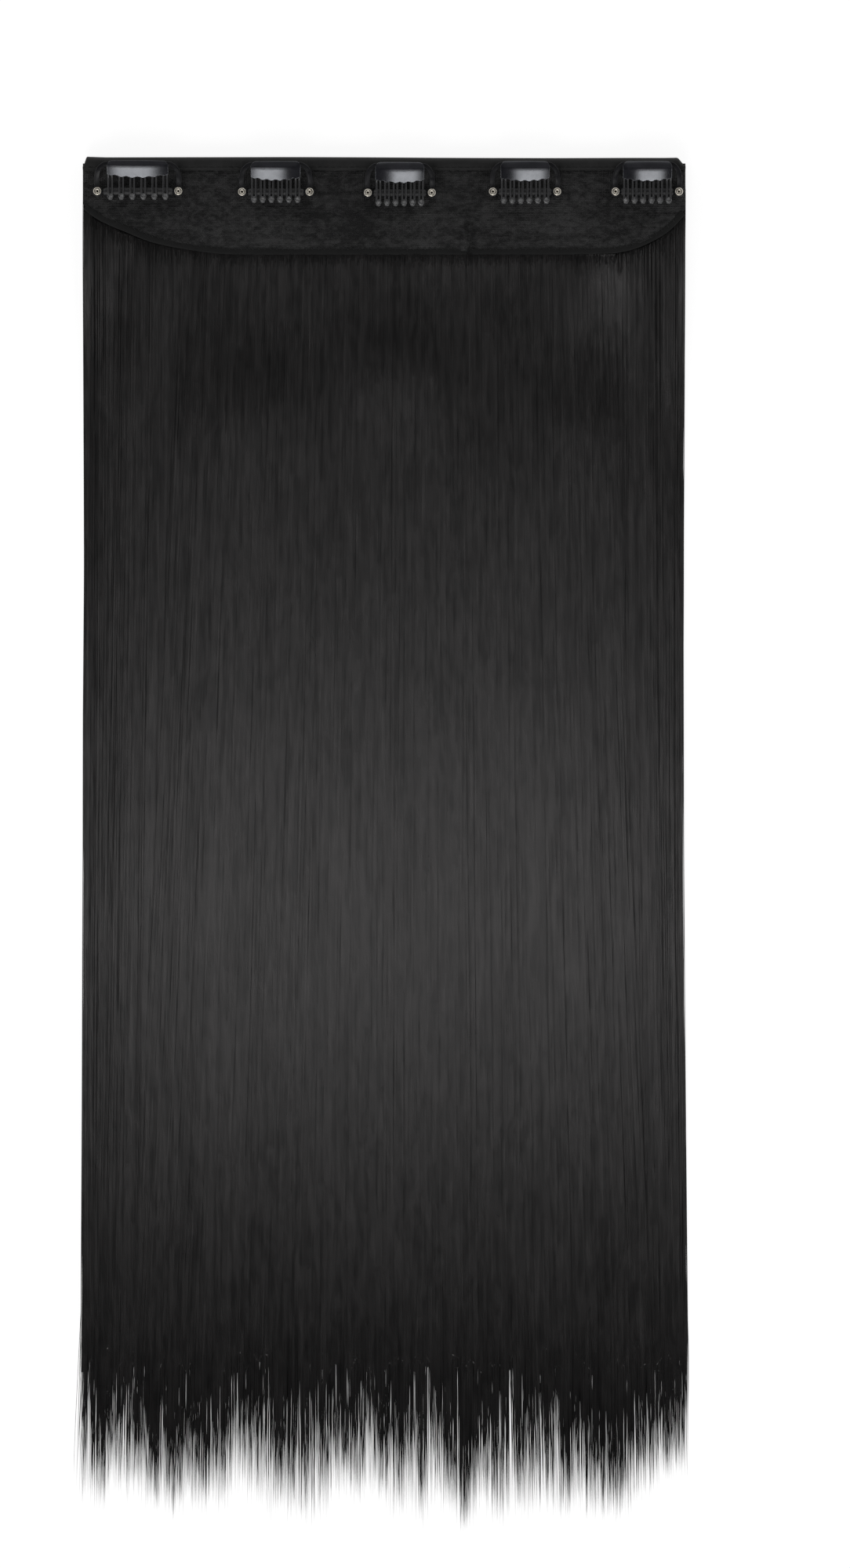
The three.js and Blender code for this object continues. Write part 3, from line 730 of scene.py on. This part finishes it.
def cloth_relief(x, depth):
    """How far the cloth stands off its flat place: over the wefts, at its seams, its fold and its creases."""
    height = 0.16 * pucker(x, depth * 1.6) + 0.10 * crinkle(x, depth)
    height += corner_lift(x) * smooth((depth - moon_depth(x) + 13) / 9)
    for row in ROWS[1:]:
        fade = 0.55 + 0.6 * edge_wave(x, 40 * row["weft"])
        height += 0.34 * fade * bell((depth - row["weft"] - 1.7) / 1.5)
        height -= 0.26 * bell((depth - row["weft"] + SEAM_RISE) / 0.6)
    lower = smooth((depth - FOLD_TOP) / 6)
    bend = x - FOLD_X - 0.5 * np.sin(depth / 5)
    height += smooth((bend + 5) / 4) * smooth(-bend / 0.9) * lower
    height -= bell((bend - 1.6) / 1.8) * lower
    for crease in CREASES:
        begin, end = crease["ease"]
        reach = smooth((x - crease["start"]) / begin) * smooth((crease["end"] - x) / end)
        below = depth - crease["depth"] - crease["slope"] * (x - crease["start"])
        height += crease["high"] * bell(below / 0.9) * reach
    return height


def base_cloth():
    """The half-moon of net: its upper side puckered, its lower side on the wefts."""
    x = np.linspace(NET_LOW[0] + INSET, NET_HIGH[0] - INSET, 330)
    down = np.linspace(0, 1, 44)
    top = EDGE_Y - NET_HIGH[1]
    bottom = moon_depth(x) - HEM_WIDTH * 0.55
    depth = top + (bottom - top)[:, None] * down
    across = np.broadcast_to(x[:, None], depth.shape)
    upper = np.maximum(NET_HIGH[2] - 0.3 + cloth_relief(across, depth), NET_LOW[2] + 0.2)
    lower = np.full_like(upper, NET_LOW[2] + 0.05)
    grids = [np.stack([across, EDGE_Y - depth, z], -1)[:, ::-1] for z in (upper, lower)]
    made = Shape()
    made.add(*shell(*grids))
    return made.piece("base_cloth", CLOTH, "base", "net", ["base_net"])


def hem():
    """A narrow folded edge along the half-moon, in a darker tape whose colour is painted shade along its
    rounded lower edge.
    """
    x = np.linspace(NET_LOW[0] + 1.6, NET_HIGH[0] - 1.6, 300)
    depth = moon_depth(x) - HEM_WIDTH / 2
    height = HEM_HIGH[2] - 1.25 + 0.12 * pucker(x, depth) + 0.06 * crinkle(x, depth) + corner_lift(x)
    height -= 0.45 * bell((x - FOLD_X - 1) / 1.3)
    path = np.stack([x, EDGE_Y - depth, height], -1)
    made = Shape()
    made.add(*sweep(path, oval(HEM_WIDTH / 2, 0.6, 16, (0.6, 0.6)), (0, 0, 1)))
    made.piece("hem", HEM_TAPE_PAINTED_SHADE, "base", "tape", ["hem_tape"])


def fold_section(y, low, high, back):
    """The section of the tape folded over the clip edge, from its top inside to its bottom inside."""
    middle = (low + high) / 2
    half = (high - low) / 2
    turn = np.linspace(math.pi / 2, -math.pi / 2, 15)
    across, up = np.cos(turn), squared_off(np.sin(turn), 0.75)
    bend = min(3.0, (y - back) * 0.7)
    outer = zip(y - bend + bend * across, middle + half * up)
    inner = zip(y - bend + (bend - FOLD_WALL) * across[::-1], middle + (half - FOLD_WALL) * up[::-1])
    lip = NET_HIGH[2] + 0.15
    return np.array([
        (back, lip), (back + 0.7, (lip + high) / 2 + 0.15), *outer, (back + 0.3, low), (back, low + 0.2),
        (back, low + FOLD_WALL), *inner, (back, lip - 0.35),
    ])


def edge_band():
    """The tape folded round the clip edge, slightly wavy, with rounded corners."""
    left, right = FOLD_LOW[0] + INSET, FOLD_HIGH[0] - INSET
    x = np.concatenate([
        np.linspace(left, left + 5, 14, endpoint=False),
        np.linspace(left + 5, right - 6, 250, endpoint=False),
        np.linspace(right - 6, right, 16),
    ])
    corner = 4.2 * (1 - smooth((x - left) / 1.9)) + 3.4 * (1 - smooth((right - x) / 4.0))
    dip = 0.22 * (1 - edge_wave(x, 0 * x)) * smooth((WIDTH / 2 - np.abs(x)) / 12)
    dip += 0.4 * smooth((x + 10) / 60)
    outer = FOLD_HIGH[1] + 1.5 - np.minimum(corner + dip, 4.6)
    back = FOLD_LOW[1] - 0.12 * pucker(x, 0 * x)
    high = FOLD_HIGH[2] - 0.15 + 0.12 * pucker(x, 0 * x + 30)
    sections = [fold_section(y, FOLD_LOW[2] + 0.05, top, low) for y, top, low in zip(outer, high, back)]
    points = np.array([[(place, y, z) for y, z in section] for place, section in zip(x, sections)])
    rings, sides = points.shape[:2]
    made = Shape()
    made.add(points, ring_walls(rings, sides), ring_ends(rings, sides))
    made.piece("edge_band", TAPE, "base", "tape", ["top_binding"])


def stitch(made, start, end, sink, rise):
    """One stitch of thread from start to end, bowed up and sunk into the cloth at its ends."""
    start, end = np.asarray(start, float), np.asarray(end, float)
    share = np.array([0, 0.14, 0.5, 0.86, 1])
    bow = np.array([-sink, rise * 0.6, rise, rise * 0.6, -sink])
    path = start + (end - start) * share[:, None] + bow[:, None] * (0, 0, 1)
    made.add(*sweep(path, oval(0.14, 0.12, 6), (0, 0, 1)))


def seams():
    """Rows of stitches: over each weft, along the hem and along the folded tape."""
    made = Shape()
    draw = np.random.default_rng(20)
    pitch = 3.1
    left_half = np.linspace(-WIDTH / 2, 0, 60)
    for row in ROWS[1:]:
        depth = row["weft"] - SEAM_RISE
        left = max(np.interp(depth, moon_depth(left_half), left_half) + 5, -WIDTH / 2 + 3)
        for x in np.arange(left, -left, pitch):
            y = EDGE_Y - depth - 0.1 * draw.normal()
            z = NET_HIGH[2] - 0.3 + cloth_relief(x, depth)
            stitch(made, (x, y, z), (x + pitch * 0.66, y + 0.1 * draw.normal(), z), 0.15, 0.06)
    for x in np.arange(-WIDTH / 2 + 4, WIDTH / 2 - 4, 2.7):
        depth = moon_depth(x) - HEM_WIDTH - 0.25
        z = NET_HIGH[2] - 0.24 + cloth_relief(x, depth)
        y = EDGE_Y - depth
        stitch(made, (x, y + 0.3, z), (x + 1.1, y - 1.0, HEM_HIGH[2] - 0.62 + corner_lift(x)), 0.12, 0.08)
    for x in np.arange(-WIDTH / 2 + 3, WIDTH / 2 - 3, 2.9):
        y = FOLD_LOW[1] + 0.9
        z = FOLD_HIGH[2] - 0.1
        stitch(made, (x, y, z), (x + 1.9, y + 0.08 * draw.normal(), z), 0.2, 0.06)
    return made.piece("seam_stitches", THREAD, "base", "tape")


cloth = base_cloth()
hem()
edge_band()
stitches = seams()

# Snap clips

# A clip's own places are u along it, v from its rivets towards the clip edge, and a height above the cloth.
SHEET = 0.6           # thickness of the steel
PLATE_FAR = 13.7      # rivets to the far edge of the plate
PLATE_RISE = 5.55     # middle of the plate at FACE_MIDDLE
FACE_MIDDLE = 9.8
FACE_SLOPE = 0.141    # rise of the plate's flat face towards the clip edge
PLATE_SHOULDER = 2.4  # how far in from its ends the plate's outline rounds over
PLATE_MARGIN = 1.4    # from the outer teeth to the ends of the plate
EDGE_BOW = 1.2        # how far the near edge of the plate draws back at its ends
LEG_WIDTH = 2.6
LEG_RISE = 3.1        # the ring of a leg on its rivet
LEG_END = 12.2        # where a leg ends under the plate
PAD_RADIUS = 2.3      # round ends of the legs and the bar
EYE_HOLE = 1.35       # the holes in them
TOOTH_COUNT = 6
TOOTH_HALF = 0.82     # from a tooth's middle to the middle of each of its prongs
TOOTH_RISE = 4.55     # a tooth where it is straight
PRONG = 0.5           # half the width of a prong
TIP_LEAN = 0.14       # rise of a bead towards its plate
SLEEVE_RISE = 2.1     # middle of the sleeve and the bar
SLEEVE_RADIUS = 1.8
SLEEVE_HOLE = 1.2
TIP_BEAD = (1.4, 1.3, 0.5)  # half sizes of the bead that ends a tooth

# A sewing thread, from the cloth over a rivet's foot: (distance from the rivet's middle, height) points
THREAD_PATH = [(3.5, -0.35), (2.9, 0.5), (2.42, 1.5), (1.9, 1.52), (1.6, 1.38)]

# How far each clip's plate leans to the right, as a slope, the radius it is bowed to along its length, where
# its lower edge is at the middle, where its flat face ends and rounds over, and how far its teeth reach past
# the rivets.
PLATES = [
    {"lean": 0.030, "bow": 100, "near": 6.1, "top": 10.5, "reach": 3.6},
    {"lean": -0.023, "bow": 72, "near": 5.1, "top": 10.0, "reach": 4.7},
    {"lean": 0.037, "bow": 67, "near": 4.4, "top": 9.5, "reach": 5.8},
    {"lean": 0.012, "bow": 70, "near": 4.7, "top": 9.5, "reach": 5.3},
    {"lean": -0.020, "bow": 60, "near": 4.7, "top": 9.3, "reach": 5.2},
]


def plate_height(clip, u, v):
    """Middle of the plate's thickness above the cloth."""
    fall = FACE_SLOPE * (v - FACE_MIDDLE) - 0.06 * np.maximum(v - clip["top"], 0) ** 2
    return PLATE_RISE + fall + u**2 / (2 * clip["bow"]) - clip["lean"] * u


def rounded_plate(clip, near, far, u):
    """The upper and lower sides of a plate between two outlines of v at each u, with rounded edges."""
    share = np.array([0, 0.003, 0.008, 0.016, 0.2, 0.36, 0.5, 0.62, 0.74, 0.86, 0.984, 0.992, 0.997, 1])
    rounding = np.array([0.1, 0.75, *[1] * 10, 0.75, 0.1])
    v = near[:, None] + (far - near)[:, None] * share
    across = np.broadcast_to(u[:, None], v.shape)
    middle = plate_height(clip, across, v)
    ends = np.clip((np.abs(u[-1]) - np.abs(u)) / 0.08, 0.1, 1)[:, None] ** 0.5
    half = SHEET / 2 * rounding * ends
    return [np.stack([across, v, middle + side * half], -1) for side in (1, -1)]


def comb(clip):
    """The pressed plate, and its six looped teeth that curve down over the sleeve to flat, round tips."""
    plate, teeth, tips = Shape(), Shape(), Shape()
    half, reach = clip["teeth"] / 2 + PLATE_MARGIN, clip["reach"]
    pitch = clip["teeth"] / (TOOTH_COUNT - 1)
    u = half * np.sin(np.linspace(-math.pi / 2, math.pi / 2, 91))
    inward = np.clip((np.abs(u) - (half - PLATE_SHOULDER)) / PLATE_SHOULDER, 0, 1)
    far = PLATE_FAR - 0.25 * (u / half) ** 2 - 2.6 * (1 - np.sqrt(1 - 0.98 * inward**2))
    scallop = 0.28 * np.cos(2 * math.pi * (u + clip["teeth"] / 2) / pitch)
    near = clip["near"] + EDGE_BOW * (u / half) ** 2 - scallop * (1 - inward)
    points, *faces = shell(*rounded_plate(clip, near, far, u))
    plate.add(points + clip["origin"], *faces)
    for i in range(TOOTH_COUNT):
        middle = -clip["teeth"] / 2 + i * pitch
        root = clip["near"] + EDGE_BOW * (middle / half) ** 2 + 0.7
        side = curve([
            (root, plate_height(clip, middle, root) - 0.42), (root - 1.9, TOOTH_RISE), (1.6, TOOTH_RISE),
            (-0.6, 4.5), (2.1 - reach, 4.2), (1.2 - reach, 3.7), (PRONG - reach, 2.9),
        ], 15)
        around = np.linspace(0, math.pi, 9)[1:-1]
        down = np.insert(side, 0, -TOOTH_HALF, axis=1)
        loop_v = side[-1, 0] - 0.45 * np.sin(around)
        loop_w = side[-1, 1] - 0.35 * np.sin(around)
        loop = np.stack([-TOOTH_HALF * np.cos(around), loop_v, loop_w], -1)
        path = np.concatenate([down, loop, down[::-1] * (-1, 1, 1)]) + (middle, 0, 0)
        normal = np.tile((0.0, -0.25, 1.0), (len(path), 1))
        normal[:, 1] -= smooth(-path[:, 1] / reach)
        teeth.add(*sweep(path + clip["origin"], oval(PRONG, PRONG * 0.9, 8), normal))
        lean = TIP_LEAN + 0.06 * math.sin(7 * i + clip["span"])
        tips.add(*tooth_tip(clip["origin"] + (middle, 1.35 - reach, 4.0), lean))
    node = f"{clip['name']}_comb"
    plate.piece(f"{node}_plate", LACQUER, clip["snap"], "clip_lacquer", [node])
    teeth.piece(f"{node}_teeth", SATIN, clip["snap"], "clip_lacquer", [node])
    tips.piece(f"{node}_tips", BEAD, clip["snap"], "clip_lacquer", [node])


def tooth_tip(centre, lean):
    """A flattened bead, leaning back with the tooth."""
    level = np.linspace(0, math.pi, 13)
    turn = full_turn(24)
    ring = np.abs(np.sin(level)) ** 0.7
    u = TIP_BEAD[0] * ring[:, None] * np.cos(turn)
    v = TIP_BEAD[1] * ring[:, None] * np.sin(turn)
    w = TIP_BEAD[2] * squared_off(np.cos(level), 0.3)[:, None] + lean * v
    return np.stack([u, v, w], -1) + centre, ring_walls(len(level), len(turn), outward=False)


def eye(centre, thick):
    """A flat ring round a rivet, its outer edges bevelled."""
    inner, outer, half, bevel = EYE_HOLE, PAD_RADIUS, thick / 2, 0.15
    profile = [
        (inner, -half), (outer - bevel, -half), (outer, bevel - half), (outer, half - bevel),
        (outer - bevel, half), (inner, half),
    ]
    return lathe(profile, centre, 36)


def leg(clip, side, end):
    """A leg of the spring: a ring round the rivet, and a strip that rises to the end of the plate."""
    made = Shape()
    foot = clip["span"] / 2
    head = clip["teeth"] / 2 + PLATE_MARGIN
    under = plate_height(clip, side * (head - 1.5), LEG_END) - 0.72
    knots = [
        (foot, 1.7, LEG_RISE), (foot + 0.2, 3.4, LEG_RISE + 0.45), (foot + 0.2, 6.4, LEG_RISE + 1.55),
        (foot - 0.8, 9.7, under - 0.05), (max(foot - 3.2, head + 0.5), LEG_END - 0.3, under),
        (head - 1.6, LEG_END, under),
    ]
    path = curve(knots, 25) * (side, 1, 1)
    narrower = np.interp(np.linspace(0, 1, 25), [0, 0.5, 1], [0.9, 0.9, 0.8])[:, None, None]
    section = oval(LEG_WIDTH / 2, SHEET / 2, 16, (0.3, 0.6)) * (narrower * [1, 0] + [0, 1])
    points, *faces = sweep(path, section, (0, 0, 1))
    made.add(points + clip["origin"], *faces)
    made.add(*eye(clip["origin"] + (side * foot, 0, LEG_RISE), SHEET))
    name = clip["name"]
    piece = made.piece(f"{name}_spring_{end}", DULL, None, "clip_lacquer", [f"{name}_leg_{end}"])
    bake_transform(piece)


def rivet(clip, side, end):
    """A hollow rivet with a rolled head."""
    made = Shape()
    roll = np.linspace(-0.5 * math.pi, 0.92 * math.pi, 12)
    head = [(1.19 + 0.64 * math.cos(turn), 3.98 + 0.36 * math.sin(turn)) for turn in roll]
    profile = [
        (0.30, 0.3), (1.9, 0.3), (2.0, 0.42), (2.0, 1.15), (1.85, 1.35), (1.1, 1.4), (1.1, 3.62), *head,
        (0.42, 3.85), (0.34, 3.6),
    ]
    made.add(*lathe(profile, clip["origin"] + (side * clip["span"] / 2, 0, 0), 40))
    name = clip["name"]
    made.piece(f"{name}_eyelet_{end}", RIVET, "base", "rivet_metal", [f"{name}_rivet_{end}"])


def sleeve(clip):
    """A soft tube on the bar, with rounded ends."""
    made = Shape()
    half = clip["span"] / 2 - PAD_RADIUS - CLEAR
    x = half * np.sin(np.linspace(-math.pi / 2, math.pi / 2, 25))
    outer = SLEEVE_RADIUS * np.clip(1 - (np.abs(x) / half) ** 40 * 0.25, 0.5, 1)
    place = np.concatenate([x, x[::-1]])[:, None]
    radius = np.concatenate([outer, np.full(len(x), SLEEVE_HOLE)])[:, None]
    turn = full_turn(20)
    y, z = radius * np.cos(turn), SLEEVE_RISE + radius * np.sin(turn)
    points = np.stack([np.broadcast_to(place, y.shape), y, z], -1) + clip["origin"]
    made.add(points, ring_walls(len(place), len(turn), closed=True))
    made.piece(f"{clip['name']}_grip_sleeve", SILICONE, "base", "silicone", [f"{clip['name']}_sleeve"])


def bar(clip):
    """The bar through the sleeve, with a round eye at each rivet."""
    made = Shape()
    foot = clip["span"] / 2
    x = np.linspace(-foot + 1.8, foot - 1.8, 12)
    path = x[:, None] * (1, 0, 0) + (0, 0, SLEEVE_RISE)
    points, *faces = sweep(path, oval(0.75, 0.4, 14), (0, 0, 1))
    made.add(points + clip["origin"], *faces)
    for side in (-1, 1):
        made.add(*eye(clip["origin"] + (side * foot, 0, SLEEVE_RISE), 0.8))
    made.piece(f"{clip['name']}_cross_bar", LACQUER, "base", "clip_lacquer", [f"{clip['name']}_bar"])


def sewing(clip):
    """Threads that hold the clip's rivet ends to the cloth."""
    made = Shape()
    draw = np.random.default_rng(70 + int(clip["name"][-1]))
    for side in (-1, 1):
        middle = clip["origin"] + (side * clip["span"] / 2, 0, 0)
        for turn in (0.35, 0.85, 1.3, 1.9, 2.4, 3.9, 4.4, 5.0, 5.6):
            turn += 0.12 * draw.normal()
            out = np.array([math.cos(turn) * side, math.sin(turn), 0])
            over = np.array([-math.sin(turn) * side, math.cos(turn), 0]) * 0.35 * draw.normal()
            path = curve([middle + out * away + over + (0, 0, high) for away, high in THREAD_PATH], 9)
            made.add(*sweep(path, oval(0.13, 0.13, 6), (out[1], -out[0], 0)))
    made.piece(f"{clip['name']}_sewing", THREAD, "base", "tape")


def snap_clip(number):
    """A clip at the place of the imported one, whose plate opens with its snap body."""
    name = f"clip_{number}"
    left, right = (sum(box(f"{name}_rivet_{end}")) / 2 for end in ("left", "right"))
    comb_low, comb_high = box(f"{name}_comb")
    clip = {
        "name": name,
        "snap": f"snap_{number}",
        "origin": np.array([(left[0] + right[0]) / 2, left[1], NET_HIGH[2]]),
        "span": right[0] - left[0],
        "teeth": comb_high[0] - comb_low[0] - 2 * PLATE_MARGIN,
        **PLATES[number - 1],
    }
    comb(clip)
    bar(clip)
    sleeve(clip)
    sewing(clip)
    for end, side in (("left", -1), ("right", 1)):
        leg(clip, side, end)
        rivet(clip, side, end)


for number in range(1, len(PLATES) + 1):
    snap_clip(number)

# Floor, light and camera

VIEW_HEIGHT = 714  # what the picture takes in, clip edge to tips, with its margins
CAMERA = (18.6, 26.6, 2200)

# Softboxes. The three keys make up one that fades to its ends.
SOFTBOXES = [
    {"name": "key_ends", "place": (0, -156, 3010), "size": (1300, 260), "radiance": 1.05},
    {"name": "key_middle", "place": (0, -156, 3005), "size": (1060, 260), "radiance": 1.2},
    {"name": "key_core", "place": (0, -156, 3000), "size": (900, 260), "radiance": 1.5},
    {"name": "fill", "place": (0, 190, 3000), "size": (1150, 260), "radiance": 0.9},
    {"name": "rear", "place": (0, 1650, 3000), "size": (2400, 1900), "radiance": 0.07},
    {"name": "front", "place": (-500, -2600, 2600), "size": (1600, 1600), "radiance": 3.6},
]


def floor():
    """A pale surface that glows enough to be white in the picture."""
    made = Shape()
    reach = 9000
    corners = [(-reach, -reach, -0.1), (reach, -reach, -0.1), (reach, reach, -0.1), (-reach, reach, -0.1)]
    made.add(corners, [[0, 1, 2, 3]])
    finish = Finish("floor", Roughness=1.0, Specular_IOR_Level=0.0)
    cloud = finish.noise((0.5, 0.5, 0.5))
    finish.shade("Base Color", cloud, (0.3, 0.30), (0.7, 0.31))
    finish.shader.inputs["Emission Color"].default_value = (1, 1, 1, 1)
    finish.shader.inputs["Emission Strength"].default_value = 0.84
    thing = put("floor", made.mesh("floor"))
    thing.data.materials.append(finish.material)


def softbox(name, place, size, radiance):
    """A rectangular light. It looks straight down, or at the part if it stands to one side."""
    wide, long = (side * MM for side in size)
    lamp = bpy.data.lights.new(name, "AREA")
    lamp.shape = "RECTANGLE"
    lamp.size, lamp.size_y = wide, long
    lamp.energy = radiance * math.pi * wide * long
    thing = put(name, lamp, place)
    if abs(place[1]) > 1000:
        thing.rotation_euler = thing.location.to_track_quat("Z", "Y").to_euler()
    thing.visible_camera = False


def surroundings():
    """A pale ring round the horizon, dark overhead, so that black things stay black from above."""
    world = bpy.data.worlds.new("studio")
    bpy.context.scene.world = world
    world.use_nodes = True
    tree = world.node_tree
    back = tree.nodes["Background"]
    place = tree.nodes.new("ShaderNodeTexCoord")
    split = tree.nodes.new("ShaderNodeSeparateXYZ")
    ramp = tree.nodes.new("ShaderNodeValToRGB")
    tree.links.new(place.outputs["Generated"], split.inputs[0])
    tree.links.new(split.outputs["Z"], ramp.inputs[0])
    tree.links.new(ramp.outputs[0], back.inputs["Color"])
    pale, dark = ramp.color_ramp.elements
    pale.position, pale.color = 0.50, (1, 1, 1, 1)
    dark.position, dark.color = 0.80, (0.02, 0.02, 0.022, 1)
    back.inputs["Strength"].default_value = 1.1


def camera():
    """Looks straight down."""
    data = bpy.data.cameras.new("camera")
    data.sensor_width = 36
    data.lens = data.sensor_width * (CAMERA[2] - NET_HIGH[2]) / VIEW_HEIGHT
    data.clip_end = 100
    bpy.context.scene.camera = put("camera", data, CAMERA)


floor()
for lamp in SOFTBOXES:
    softbox(**lamp)
surroundings()
camera()
bpy.context.scene.view_settings.view_transform = "Standard"
